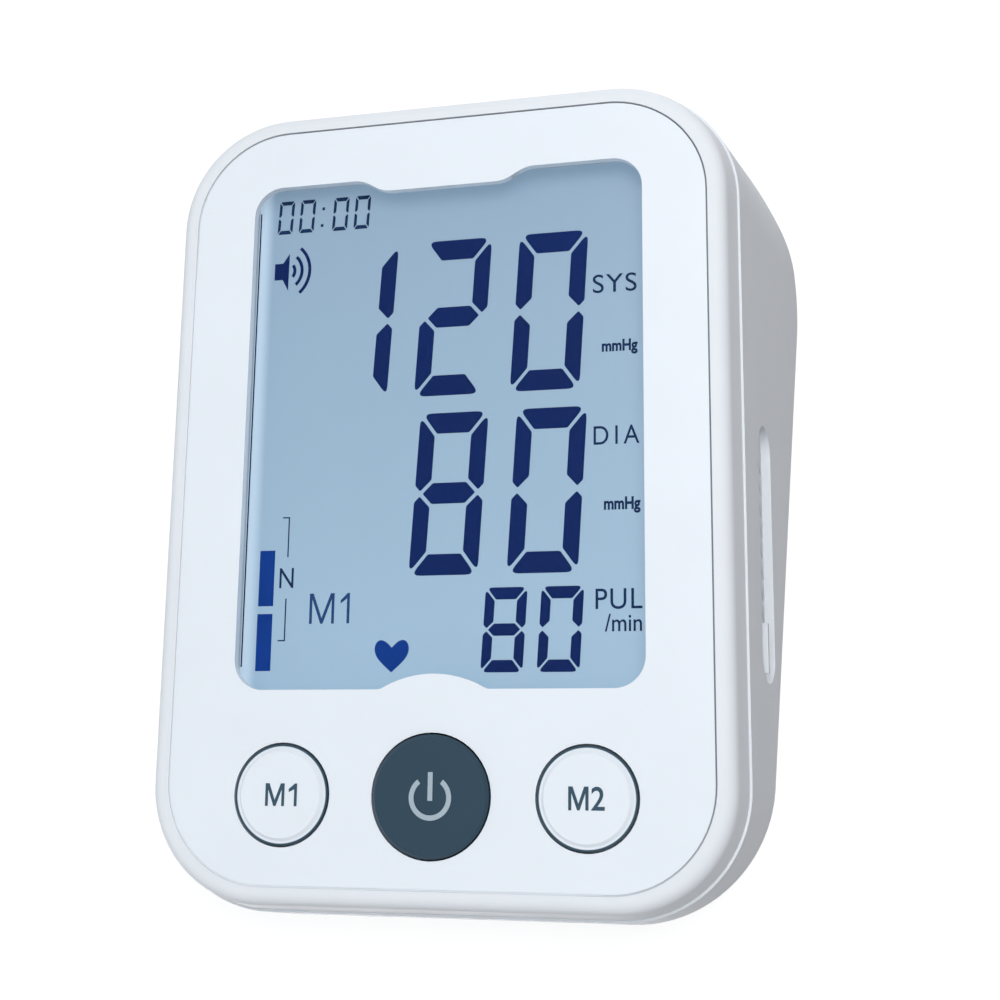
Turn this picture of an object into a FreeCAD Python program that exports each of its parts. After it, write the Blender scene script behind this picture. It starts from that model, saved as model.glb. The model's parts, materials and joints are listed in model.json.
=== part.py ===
"""Desktop upper-arm blood pressure monitor, millimetres, +Z up, standing on its four feet.

The origin is on the table under the middle of the housing. The user sits on the -Y side.
The display face is tilted up towards the user. "Face" coordinates are x to the right,
w up along the face and n out of the face, with their zero in the middle of the face.
"""
import FreeCAD
import Part
import Sketcher
import math
import os
import re

SIZES = {
    # Housing
    "face_tilt": 19.3,
    "face_shift": -2.4,
    "body_width": 105.4,
    "body_height": 145.4,
    "body_corner": 21.5,
    "side_flare": 6.3,
    "bezel_depth": 6.9,
    "bezel_flare": 12.0,
    "rim_round": 2.4,
    "wall_thick": 2.3,
    "centre_depth": 44.5,
    "rear_step": 2.8,
    "rear_round": 16.0,
    "base_round": 1.8,
    "ledge_step": 0.4,
    "lip_seat": 0.4,
    "lip_height": 2.0,
    "lip_thick": 1.1,
    "lip_clearance": 0.15,
    "cut_overrun": 1.0,
    # Face panel and its window
    "panel_side": 4.7,
    "panel_end": 4.5,
    "panel_corner": 17.5,
    "panel_thick": 1.5,
    "panel_sink": 0.15,
    "panel_gap": 0.3,
    "plate_thick": 1.8,
    "window_side": 11.2,
    "window_top": 10.5,
    "window_foot": 32.9,
    "window_corner": 5.4,
    "window_margin": 2.0,
    "notch_depth": 2.4,
    "notch_width": 31.2,
    "notch_flat": 23.0,
    "notch_round": 6.0,
    "hump_radius": 18.8,
    "hump_rise": 2.6,
    "hump_round": 2.0,
    # Display
    "lcd_setback": 4.6,
    "lcd_overlap": 3.2,
    "lcd_thick": 2.4,
    "frame_reveal": 1.0,
    "frame_margin": 1.6,
    "frame_corner": 1.5,
    "connector_width": 70.0,
    "connector_high": 2.2,
    # Keys and switches
    "key_foot": 15.1,
    "key_pitch": 26.9,
    "memory_radius": 8.5,
    "power_radius": 10.25,
    "ring_width": 0.75,
    "ring_deep": 1.2,
    "key_proud": 0.45,
    "key_edge": 0.5,
    "key_clearance": 0.3,
    "key_flange": 1.0,
    "flange_thick": 1.2,
    "stem_radius": 2.2,
    "key_travel": 0.6,
    "switch_side": 6.2,
    "switch_high": 2.4,
    "plunger_radius": 1.6,
    "press_margin": 0.2,
    "plunger_long": 2.0,
    "plunger_play": 0.15,
    # Main board
    "board_front": 10.2,
    "board_thick": 1.6,
    "board_side": 10.7,
    "board_end": 4.2,
    "board_corner": 8.0,
    "chip_side": 14.0,
    "chip_thick": 1.6,
    "chip_place": 30.0,
    "post_radius": 2.8,
    "post_end": 6.7,
    "post_top_pitch": 50.0,
    "post_foot": 8.3,
    "post_low_pitch": 27.0,
    "screw_radius": 1.1,
    "screw_long": 6.0,
    "screw_head": 2.2,
    "head_thick": 1.4,
    # Housing screws
    "boss_radius": 3.4,
    "boss_side": 6.7,
    "boss_end": 26.7,
    "boss_join": 9.0,
    "housing_screw_radius": 1.4,
    "housing_screw_grip": 6.0,
    "housing_head_radius": 2.6,
    "housing_head_thick": 2.0,
    "screw_floor": 3.0,
    "screw_fit": 0.15,
    # Air system
    "tee_inset": 17.4,
    "air_deep": 22.2,
    "tee_place": 12.0,
    "tee_half": 3.0,
    "port_radius": 1.5,
    "port_long": 3.0,
    "tube_radius": 2.4,
    "socket_sink": 0.4,
    "flange_radius": 5.5,
    "flange_deep": 1.5,
    "socket_radius": 4.4,
    "socket_reach": 7.2,
    "bore_radius": 2.6,
    "bore_deep": 8.0,
    "air_passage": 0.8,
    "pump_radius": 9.5,
    "motor_long": 26.0,
    "head_long": 14.0,
    "head_width": 18.0,
    "head_corner": 4.0,
    "shaft_end": 3.0,
    "saddle_thick": 1.6,
    "saddle_wall": 2.0,
    "valve_side": 10.0,
    "valve_long": 15.0,
    "sensor_x": 12.0,
    "sensor_side": 8.0,
    "sensor_thick": 5.2,
    "sensor_axis": 14.6,
    "bend_radius": 7.0,
    # Sound outlet and speaker
    "outlet_long": 46.1,
    "outlet_wide": 9.8,
    "outlet_deep": 1.1,
    "outlet_w": -10.6,
    "outlet_n": 22.0,
    "round_flat": 0.002,
    "slot_lean": 35.0,
    "slot_wide": 1.5,
    "slot_pitch": 3.8,
    "slot_first": 6.6,
    "slot_margin": 1.3,
    "rib_long": 8.7,
    "rib_wide": 1.3,
    "rib_end": 1.9,
    "speaker_radius": 12.0,
    "speaker_thick": 3.0,
    "magnet_radius": 6.0,
    "magnet_thick": 2.2,
    "speaker_gap": 0.3,
    # Batteries and their bay
    "cell_radius": 7.25,
    "cell_long": 49.5,
    "nub_radius": 2.75,
    "nub_long": 1.0,
    "cell_gap": 0.4,
    "spring_room": 5.0,
    "contact_thick": 0.5,
    "contact_width": 9.0,
    "bay_side": 41.2,
    "bay_front": -16.0,
    "bay_wall": 2.4,
    "bay_clearance": 0.5,
    "cover_thick": 2.0,
    "cover_ledge": 1.1,
    "cover_clearance": 0.3,
    "tongue_width": 13.0,
    "tongue_long": 11.0,
    "tongue_slot": 1.0,
    "grip_depth": 1.2,
    "grip_width": 18.0,
    "grip_long": 7.0,
    "groove_wide": 0.8,
    "groove_deep": 0.5,
    "groove_pitch": 1.7,
    "groove_edge": 1.5,
    # Feet
    "foot_height": 1.5,
    "foot_radius": 4.2,
    "foot_socket": 0.9,
    "foot_edge": 0.6,
    "foot_side": 14.7,
    "foot_front": 24.6,
    "foot_rear": 2.2,
}

CELL_COUNT = 4
SLOT_COUNT = 8
GROOVE_COUNT = 4

doc = FreeCAD.newDocument("pressure_monitor")
sheet = doc.addObject("Spreadsheet::Sheet", "Sizes")
for row, (alias, number) in enumerate(SIZES.items(), start=1):
    sheet.set("A%d" % row, alias)
    sheet.set("B%d" % row, str(number))
    sheet.setAlias("B%d" % row, alias)
doc.recompute()

subparts = []


def formula(text):
    """Write a sum of size names as an expression on the sheet."""
    return re.sub(r"\b([a-z]+_[a-z_0-9]+)\b", r"Sizes.\1", text)


def value(text):
    """Work out such a sum as a number."""
    return float(sheet.evalExpression(formula(text)))


def bind(thing, **sums):
    """Tie the named properties of an object to sums of sizes."""
    for name, text in sums.items():
        thing.setExpression(name, formula(text))
    return thing


def stand(thing, x, y, z, axis=(0, 0, 1), turn="0"):
    """Place an object in the standing frame, turned about an axis through its own origin."""
    thing.Placement.Rotation = FreeCAD.Rotation(FreeCAD.Vector(*axis), value(turn))
    thing.setExpression("Placement.Rotation.Angle", formula(turn))
    thing.setExpression("Placement.Base.x", formula(x))
    thing.setExpression("Placement.Base.y", formula(y))
    thing.setExpression("Placement.Base.z", formula(z))
    return thing


FACE_Y = "(({w}) * cos(face_tilt) - ({n}) * sin(face_tilt) + face_shift)"
FACE_Z = "(({w}) * sin(face_tilt) + ({n}) * cos(face_tilt) + centre_depth * cos(face_tilt) + foot_height)"


def lay(thing, x, w, n, turn="0"):
    """Place an object in face coordinates, tilted with the face and turned further about x."""
    place = {"w": w, "n": n}
    lean = "face_tilt + (%s)" % turn
    return stand(thing, x, FACE_Y.format(**place), FACE_Z.format(**place), (1, 0, 0), lean)


def point_of_face(x, w, n):
    """Give the standing coordinates of a point in face coordinates."""
    place = {"w": w, "n": n}
    return FreeCAD.Vector(value(x), value(FACE_Y.format(**place)), value(FACE_Z.format(**place)))


def box(name, length, width, height):
    block = doc.addObject("Part::Box", name)
    return bind(block, Length=length, Width=width, Height=height)


def cylinder(name, radius, height):
    return bind(doc.addObject("Part::Cylinder", name), Radius=radius, Height=height)


def along_x(thing, x, w, n):
    """Lay a cylinder with its axis along +x."""
    place = {"w": w, "n": n}
    return stand(thing, x, FACE_Y.format(**place), FACE_Z.format(**place), (0, 1, 0), "90")


def along_w(thing, x, w, n):
    """Lay a cylinder with its axis up the face."""
    return lay(thing, x, w, n, "-90")


def fuse(name, *things):
    joined = doc.addObject("Part::MultiFuse", name)
    joined.Shapes = list(things)
    joined.Refine = True
    return joined


def cut(name, base, *tools):
    """Take the tools away from the base."""
    tool = tools[0] if len(tools) == 1 else fuse(name + "_tools", *tools)
    result = doc.addObject("Part::Cut", name)
    result.Base = base
    result.Tool = tool
    return result


def common(name, base, tool):
    result = doc.addObject("Part::Common", name)
    result.Base = base
    result.Tool = tool
    return result


def group(name, *things):
    """Keep like pieces together as separate solids of one node."""
    gathered = doc.addObject("Part::Compound", name)
    gathered.Links = list(things)
    return gathered


def node(name, thing):
    """Hand a finished piece in under its own name."""
    thing.Label = name
    subparts.append(thing)
    return thing


def origin_plane(body, role):
    return next(plane for plane in body.Origin.OriginFeatures if plane.Role == role)


def sketch_on(body, role):
    sketch = body.newObject("Sketcher::SketchObject", body.Name + "_outline")
    sketch.AttachmentSupport = (origin_plane(body, role), "")
    sketch.MapMode = "FlatFace"
    return sketch


def dimension(sketch, name, kind, *where, size):
    """Add a driving dimension and tie it to a sum of sizes."""
    index = sketch.addConstraint(Sketcher.Constraint(kind, *where, value(size)))
    sketch.renameConstraint(index, name)
    sketch.setExpression("Constraints." + name, formula(size))


def rounded_rectangle(sketch, width, height, corner):
    """Draw a rectangle with round corners about the origin: four lines joined by tangent arcs."""
    half_w, half_h, r = value(width) / 2, value(height) / 2, value(corner)
    in_w, in_h = half_w - r, half_h - r
    ends = (((-in_w, -half_h), (in_w, -half_h)), ((half_w, -in_h), (half_w, in_h)),
            ((in_w, half_h), (-in_w, half_h)), ((-half_w, in_h), (-half_w, -in_h)))
    centres = ((in_w, -in_h), (in_w, in_h), (-in_w, in_h), (-in_w, -in_h))
    for start, end in ends:
        sketch.addGeometry(Part.LineSegment(FreeCAD.Vector(*start, 0), FreeCAD.Vector(*end, 0)))
    for quarter, centre in enumerate(centres, start=-1):
        circle = Part.Circle(FreeCAD.Vector(*centre, 0), FreeCAD.Vector(0, 0, 1), r)
        sketch.addGeometry(Part.ArcOfCircle(circle, quarter * math.pi / 2, (quarter + 1) * math.pi / 2))
    for side in range(4):
        sketch.addConstraint(Sketcher.Constraint("Tangent", side, 2, side + 4, 1))
        sketch.addConstraint(Sketcher.Constraint("Tangent", side + 4, 2, (side + 1) % 4, 1))
    sketch.addConstraint(Sketcher.Constraint("Horizontal", 2))
    sketch.addConstraint(Sketcher.Constraint("Vertical", 3))
    for arc in (5, 6, 7):
        sketch.addConstraint(Sketcher.Constraint("Equal", 4, arc))
    sketch.addConstraint(Sketcher.Constraint("Symmetric", 0, 1, 0, 2, -2))
    sketch.addConstraint(Sketcher.Constraint("Symmetric", 1, 1, 1, 2, -1))
    dimension(sketch, "width", "DistanceX", 3, 1, 1, 1, size=width)
    dimension(sketch, "height", "DistanceY", 0, 1, 2, 2, size=height)
    dimension(sketch, "corner", "Radius", 4, size=corner)


def polygon(sketch, corners):
    """Draw a closed outline through corners whose two coordinates are sums of sizes."""
    spots = [FreeCAD.Vector(value(across), value(up), 0) for across, up in corners]
    count = len(spots)
    for index in range(count):
        sketch.addGeometry(Part.LineSegment(spots[index], spots[(index + 1) % count]))
    for index in range(count):
        sketch.addConstraint(Sketcher.Constraint("Coincident", index, 2, (index + 1) % count, 1))
    for index, (across, up) in enumerate(corners):
        dimension(sketch, "across_%d" % index, "DistanceX", -1, 1, index, 1, size=across)
        dimension(sketch, "up_%d" % index, "DistanceY", -1, 1, index, 1, size=up)


def tile(name, width, height, corner, thick, flare="0", inward=False):
    """Pad a rounded rectangle along n, or against n if inward, its walls leaning outwards by the flare."""
    body = doc.addObject("PartDesign::Body", name)
    sketch = sketch_on(body, "XY_Plane")
    rounded_rectangle(sketch, width, height, corner)
    pad = body.newObject("PartDesign::Pad", name + "_pad")
    pad.Profile = sketch
    pad.Reversed = inward
    bind(pad, Length=thick, TaperAngle=flare)
    return body


def prism(name, role, corners, length, midplane=False):
    """Pad a polygon drawn on one of the origin planes."""
    body = doc.addObject("PartDesign::Body", name)
    sketch = sketch_on(body, role)
    polygon(sketch, corners)
    pad = body.newObject("PartDesign::Pad", name + "_pad")
    pad.Profile = sketch
    pad.Midplane = midplane
    bind(pad, Length=length)
    return body


def turned(name, corners):
    """Revolve a profile of (radius, height) corners about its own axis."""
    body = doc.addObject("PartDesign::Body", name)
    sketch = sketch_on(body, "XZ_Plane")
    polygon(sketch, corners)
    revolution = body.newObject("PartDesign::Revolution", name + "_turn")
    revolution.Profile = sketch
    revolution.ReferenceAxis = (sketch, ["V_Axis"])
    revolution.Angle = 360
    return body


def rounded(name, base, radius, choose):
    """Round the edges of an object that the test picks."""
    doc.recompute()
    fillet = doc.addObject("Part::Fillet", name)
    fillet.Base = base
    size = value(radius)
    numbered = enumerate(base.Shape.Edges, start=1)
    fillet.Edges = [(number, size, size) for number, edge in numbered if choose(edge)]
    return fillet


REAR_REACH = "(body_height / 2 * cos(face_tilt) + face_shift + rear_step)"


def wedge(name, inset, front, foot_gap):
    """The housing's form behind the parting plane, smaller by an inset all round.

    A rounded outline flares backwards from the parting plane. A block that stands on the table trims it: its
    flat bottom is the base, its back is the upright rear wall, and the edge between them is round.
    """
    width = "body_width - 2 * (%s)" % inset
    height = "body_height - 2 * (%s)" % inset
    corner = "body_corner - (%s)" % inset
    flare = tile(name + "_flare", width, height, corner, "2 * centre_depth", "side_flare", inward=True)
    lay(flare, "0", "0", "%s - bezel_depth" % front)
    block = box(name + "_block", "2 * body_width", "2 * body_height", "2 * body_height")
    base_level = "foot_height + (%s)" % foot_gap
    rear_level = "%s - (%s)" % (REAR_REACH, inset)
    stand(block, "-body_width", rear_level + " - 2 * body_height", base_level)
    low = value(base_level)
    back = value(rear_level)
    trimmed = rounded(name + "_trim", block, "rear_round - (%s)" % inset, lambda edge: all(
        abs(vertex.Z - low) < 0.001 and abs(vertex.Y - back) < 0.001 for vertex in edge.Vertexes))
    return common(name, flare, trimmed)


def in_base(edge):
    """True for an edge that lies in the base plane."""
    low = value("foot_height")
    return edge.BoundBox.ZMax - low < 0.001


# Places that several pieces share, as sums of sizes.
PLATE_BACK = "-(panel_sink + panel_thick + plate_thick)"
PANEL_WIDE = "(body_width - 2 * panel_side)"
PANEL_TALL = "(body_height - 2 * panel_end)"
WINDOW_WIDE = "(%s - 2 * window_side)" % PANEL_WIDE
WINDOW_TALL = "(%s - window_top - window_foot)" % PANEL_TALL
WINDOW_MIDDLE = "((window_foot - window_top) / 2)"
LCD_WIDE = "(%s + 2 * lcd_overlap)" % WINDOW_WIDE
LCD_TALL = "(%s + 2 * lcd_overlap)" % WINDOW_TALL
LCD_FOOT = "(%s - %s / 2)" % (WINDOW_MIDDLE, LCD_TALL)
KEY_W = "(key_foot - %s / 2)" % PANEL_TALL
BOARD_BACK = "-(board_front + board_thick)"
STEM_END = "(switch_high + key_travel + press_margin - board_front)"
BAY_WIDE = "(8 * cell_radius + 3 * cell_gap + 2 * bay_clearance)"
BAY_LONG = "(cell_long + nub_long + contact_thick + spring_room)"
BAY_LOW = "(foot_height + cover_thick + cover_clearance)"
BAY_HIGH = "(2 * cell_radius + 2 * bay_clearance)"
CELL_Z = "(%s + bay_clearance + cell_radius)" % BAY_LOW
KEY_COLUMNS = {"memory_key_1": "-key_pitch", "power_key": "0", "memory_key_2": "key_pitch"}
SIGNS = ("-", "")
BOSSES = [("%s(body_width / 2 - boss_side)" % side, "%s(body_height / 2 - boss_end)" % end)
          for side in SIGNS for end in SIGNS]
POSTS = [("%spost_top_pitch / 2" % side, "body_height / 2 - post_end") for side in SIGNS]
POSTS += [("%spost_low_pitch / 2" % side, "post_foot - body_height / 2") for side in SIGNS]
BAY_X = "(body_width / 2 - bay_side)"
DOOR_END = "(bay_front + %s + cover_ledge + cover_clearance)" % BAY_LONG
FOOT_ROWS = ("foot_front - body_height / 2 * cos(face_tilt)", "%s + foot_rear + foot_radius" % DOOR_END)
FEET = [("%s(body_width / 2 - foot_side)" % side, row) for side in SIGNS for row in FOOT_ROWS]


def side_wall(depth):
    """How far out the housing's side stands at a depth behind the face."""
    return "(body_width / 2 + ledge_step + (%s - bezel_depth) * tan(side_flare))" % depth


OUTLET_WALL = side_wall("outlet_n")
SOCKET_FACE = "(%s - socket_sink)" % side_wall("air_deep")
AIR_X = "(%s - tee_inset)" % SOCKET_FACE
PUMP_FRONT = "(2 * tee_half + 2 * port_long - tee_place - tee_half)"


def key_radius(key):
    return "power_radius" if key == "power_key" else "memory_radius"


def window_form(name, thick):
    """The display opening: a rounded rectangle with a dip in its top, a hump in its foot and eased bends."""
    pane = tile(name + "_pane", WINDOW_WIDE, WINDOW_TALL, "window_corner", thick)
    hump = cylinder(name + "_hump", "hump_radius", thick)
    stand(hump, "0", "hump_rise - hump_radius - %s / 2" % WINDOW_TALL, "0")
    top = "%s / 2" % WINDOW_TALL
    dip = prism(name + "_dip", "XY_Plane", [
        ("-notch_width / 2", top + " + cut_overrun"), ("-notch_width / 2", top),
        ("-notch_flat / 2", top + " - notch_depth"), ("notch_flat / 2", top + " - notch_depth"),
        ("notch_width / 2", top), ("notch_width / 2", top + " + cut_overrun")], thick)
    middle = value("%s / 2 - window_corner - notch_depth" % WINDOW_WIDE)

    def bend(edge, upper):
        spot = edge.BoundBox
        upright = spot.XLength + spot.YLength < 0.001
        return upright and abs(spot.XMax) < middle and (spot.YMax > 0) == upper

    sharp = cut(name + "_sharp", pane, hump, dip)
    dipped = rounded(name + "_dipped", sharp, "notch_round", lambda edge: bend(edge, True))
    return rounded(name, dipped, "hump_round", lambda edge: bend(edge, False))


def moved(name, thing, x, w, n):
    """Lay a finished form in face coordinates as a piece of its own."""
    return lay(group(name, thing), x, w, n)


def make_front_shell():
    """White bezel: a shallow tray with a rounded rim, a recess for the panel, and posts behind its plate."""
    outer = tile("front_block", "body_width", "body_height", "body_corner", "bezel_depth", "-bezel_flare")
    lay(outer, "0", "0", "-bezel_depth")
    face = point_of_face("0", "0", "0")
    normal = point_of_face("0", "0", "1") - face
    rim = rounded("front_rim", outer, "rim_round", lambda edge: all(
        abs((vertex.Point - face).dot(normal)) < 0.001 for vertex in edge.Vertexes))
    recess = tile("front_recess", PANEL_WIDE + " + 2 * panel_gap", PANEL_TALL + " + 2 * panel_gap",
                  "panel_corner + panel_gap", "panel_sink + panel_thick + cut_overrun")
    lay(recess, "0", "0", "-(panel_sink + panel_thick)")
    hollow = tile("front_hollow", "body_width - 2 * wall_thick", "body_height - 2 * wall_thick",
                  "body_corner - wall_thick", "bezel_depth + cut_overrun + (%s)" % PLATE_BACK)
    lay(hollow, "0", "0", "-(bezel_depth + cut_overrun)")
    opening = tile("front_opening", WINDOW_WIDE + " + 2 * window_margin",
                   WINDOW_TALL + " + 2 * window_margin", "window_corner + window_margin", "bezel_depth")
    lay(opening, "0", WINDOW_MIDDLE, "-bezel_depth")
    holes = []
    for key, column in KEY_COLUMNS.items():
        hole = cylinder("front_hole_" + key, key_radius(key) + " + key_clearance", "bezel_depth")
        holes.append(lay(hole, column, KEY_W, "-bezel_depth"))
    tray = cut("front_tray", rim, recess, hollow, opening, *holes)
    posts = []
    pilots = []
    for number, (x, w) in enumerate(POSTS):
        post = cylinder("front_post_%d" % number, "post_radius",
                        "board_front + cut_overrun + (%s)" % PLATE_BACK)
        posts.append(lay(post, x, w, "-board_front"))
        pilot = cylinder("front_pilot_%d" % number, "screw_radius + screw_fit", "screw_long")
        pilots.append(lay(pilot, x, w, "-board_front - cut_overrun"))
    for number, (x, w) in enumerate(BOSSES):
        boss = cylinder("front_boss_%d" % number, "boss_radius",
                        "boss_join + cut_overrun + (%s)" % PLATE_BACK)
        posts.append(lay(boss, x, w, "-boss_join"))
        pilot = cylinder("front_boss_pilot_%d" % number, "housing_screw_radius + screw_fit",
                         "housing_screw_grip + cut_overrun")
        pilots.append(lay(pilot, x, w, "-boss_join - cut_overrun"))
    return node("front_shell", cut("front_shell", fuse("front_posted", tray, *posts), *pilots))


def make_rear_shell():
    """Hollow wedge-shaped rear half: battery bay, screw bosses, pump bed, air hole and sound outlet."""
    outer = rounded("rear_outer", wedge("rear_form", "-ledge_step", "0", "0"), "base_round", in_base)
    inner = wedge("rear_inner", "wall_thick + lip_seat", "cut_overrun", "wall_thick")
    shell = cut("rear_hollow", outer, inner)
    lip_inset = "(wall_thick + lip_clearance)"
    lip_outer = tile("lip_outer", "body_width - 2 * %s" % lip_inset, "body_height - 2 * %s" % lip_inset,
                     "body_corner - %s" % lip_inset, "2 * lip_height")
    lay(lip_outer, "0", "0", "-bezel_depth - lip_height")
    lip_inner = tile("lip_inner", "body_width - 2 * (%s + lip_thick)" % lip_inset,
                     "body_height - 2 * (%s + lip_thick)" % lip_inset,
                     "body_corner - %s - lip_thick" % lip_inset, "2 * lip_height + 2 * cut_overrun")
    lay(lip_inner, "0", "0", "-bezel_depth - lip_height - cut_overrun")
    lip = cut("lip", lip_outer, lip_inner)
    bay_block = box("bay_block", "%s + 2 * bay_wall" % BAY_WIDE, "%s + 2 * bay_wall" % BAY_LONG,
                    "cover_thick + cover_clearance + %s + bay_wall" % BAY_HIGH)
    stand(bay_block, "%s - %s / 2 - bay_wall" % (BAY_X, BAY_WIDE), "bay_front - bay_wall", "foot_height")
    inner_parts = [shell, lip, bay_block]
    for number, (x, w) in enumerate(BOSSES):
        column = cylinder("rear_column_%d" % number, "boss_radius", "2 * centre_depth")
        lay(column, x, w, "-boss_join - 2 * centre_depth")
        inner_parts.append(common("rear_boss_%d" % number, column, outer))
    for end, share in (("low", "0.2"), ("high", "0.8")):
        bed = box("bed_block_" + end, "2 * (pump_radius + saddle_thick)", "saddle_wall", "centre_depth")
        place = "%s + head_long + %s * motor_long - saddle_wall / 2" % (PUMP_FRONT, share)
        lay(bed, "-%s - pump_radius - saddle_thick" % AIR_X, place, "-air_deep - centre_depth")
        inner_parts.append(common("bed_rib_" + end, bed, outer))
    solid = fuse("rear_solid", *inner_parts)
    bay = box("bay_room", BAY_WIDE, BAY_LONG, "%s + cut_overrun" % BAY_HIGH)
    stand(bay, "%s - %s / 2" % (BAY_X, BAY_WIDE), "bay_front", "%s - cut_overrun" % BAY_LOW)
    door = box("bay_door", "%s + 2 * (cover_ledge + cover_clearance)" % BAY_WIDE,
               "%s + 2 * (cover_ledge + cover_clearance)" % BAY_LONG,
               "cover_thick + cover_clearance + cut_overrun")
    stand(door, "%s - %s / 2 - cover_ledge - cover_clearance" % (BAY_X, BAY_WIDE),
          "bay_front - cover_ledge - cover_clearance", "foot_height - cut_overrun")
    grip = cylinder("bay_grip", "grip_width / 2", "grip_depth + cut_overrun")
    stand(grip, BAY_X, "bay_front + %s + cover_ledge + grip_long - grip_width / 2" % BAY_LONG,
          "foot_height - cut_overrun")
    tools = [bay, door, grip]
    for number, (x, w) in enumerate(BOSSES):
        shank = cylinder("rear_shank_%d" % number, "housing_screw_radius + screw_fit", "2 * centre_depth")
        tools.append(lay(shank, x, w, "-boss_join - 2 * centre_depth"))
        well = cylinder("rear_well_%d" % number, "housing_head_radius + screw_fit", "2 * centre_depth")
        tools.append(lay(well, x, w, "-boss_join - screw_floor - 2 * centre_depth"))
        gap = cylinder("rear_meet_%d" % number, "boss_radius + cut_overrun",
                       "boss_join - bezel_depth + lip_height")
        tools.append(lay(gap, x, w, "-boss_join"))
    for number, (x, y) in enumerate(FEET):
        pocket = cylinder("foot_pocket_%d" % number, "foot_radius", "foot_socket + cut_overrun")
        tools.append(stand(pocket, x, y, "foot_height - cut_overrun"))
    cradle = cylinder("pump_room", "pump_radius + saddle_thick", "head_long + motor_long")
    tools.append(along_w(cradle, "-" + AIR_X, PUMP_FRONT, "-air_deep"))
    socket_hole = cylinder("socket_hole", "socket_radius", "2 * wall_thick + socket_reach")
    tools.append(along_x(socket_hole, "-%s - wall_thick" % SOCKET_FACE, "-tee_place", "-air_deep"))
    spot = cylinder("socket_spot", "flange_radius + panel_gap", "2 * wall_thick")
    tools.append(along_x(spot, "-%s - 2 * wall_thick" % SOCKET_FACE, "-tee_place", "-air_deep"))
    tools += make_outlet_tools()
    return node("rear_shell", cut("rear_shell", solid, *tools))


def obround(name, long, wide, thick):
    """An upright slot form: two round ends joined by straight sides, thick along x."""
    body = doc.addObject("PartDesign::Body", name)
    sketch = sketch_on(body, "YZ_Plane")
    rounded_rectangle(sketch, long, wide, "(%s - round_flat) / 2" % wide)
    pad = body.newObject("PartDesign::Pad", name + "_pad")
    pad.Profile = sketch
    bind(pad, Length=thick)
    return body


def make_outlet_tools():
    """The sunk obround of the sound outlet, a rib left in its lower end, and the leaning slots above it."""
    sunk = obround("outlet_sunk", "outlet_long", "outlet_wide", "wall_thick + cut_overrun")
    lay(sunk, OUTLET_WALL + " - outlet_deep", "outlet_w", "-outlet_n")
    rib = box("outlet_rib", "2 * outlet_deep", "rib_long", "rib_wide")
    lay(rib, OUTLET_WALL + " - 2 * outlet_deep", "outlet_w - outlet_long / 2 + rib_end",
        "-outlet_n - rib_wide / 2")
    recess = cut("outlet_recess", sunk, rib)
    field = obround("outlet_field", "outlet_long - 2 * slot_margin", "outlet_wide - 2 * slot_margin",
                    "4 * wall_thick")
    lay(field, OUTLET_WALL + " - 3 * wall_thick", "outlet_w", "-outlet_n")
    bars = []
    lean = "outlet_wide / 2 * tan(slot_lean)"
    for number in range(SLOT_COUNT):
        step = "outlet_long / 2 - slot_first - %d * slot_pitch" % number
        bar = prism("outlet_bar_%d" % number, "YZ_Plane", [
            ("%s - slot_wide / 2 - %s" % (step, lean), "-outlet_wide / 2"),
            ("%s + slot_wide / 2 - %s" % (step, lean), "-outlet_wide / 2"),
            ("%s + slot_wide / 2 + %s" % (step, lean), "outlet_wide / 2"),
            ("%s - slot_wide / 2 + %s" % (step, lean), "outlet_wide / 2")], "4 * wall_thick")
        bars.append(lay(bar, OUTLET_WALL + " - 3 * wall_thick", "outlet_w", "-outlet_n"))
    slots = common("outlet_slots", fuse("outlet_bars", *bars), field)
    return [recess, slots]


def make_panel_and_window():
    """White printed face sheet, with the clear window set in its opening and a hole for each key."""
    blank = tile("panel_blank", PANEL_WIDE, PANEL_TALL, "panel_corner", "panel_thick")
    lay(blank, "0", "0", "-(panel_sink + panel_thick)")
    opening = window_form("panel_opening", "panel_thick + 2 * cut_overrun")
    hole = moved("panel_hole", opening, "0", WINDOW_MIDDLE, "-(panel_sink + panel_thick + cut_overrun)")
    tools = [hole]
    for key, column in KEY_COLUMNS.items():
        ring = cylinder("panel_hole_" + key, key_radius(key) + " + key_clearance",
                        "panel_thick + 2 * cut_overrun")
        tools.append(lay(ring, column, KEY_W, "-(panel_sink + panel_thick + cut_overrun)"))
    node("front_panel", cut("front_panel", blank, *tools))
    pane = window_form("window_pane", "panel_thick")
    node("display_window", moved("display_window", pane, "0", WINDOW_MIDDLE, "-(panel_sink + panel_thick)"))


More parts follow.
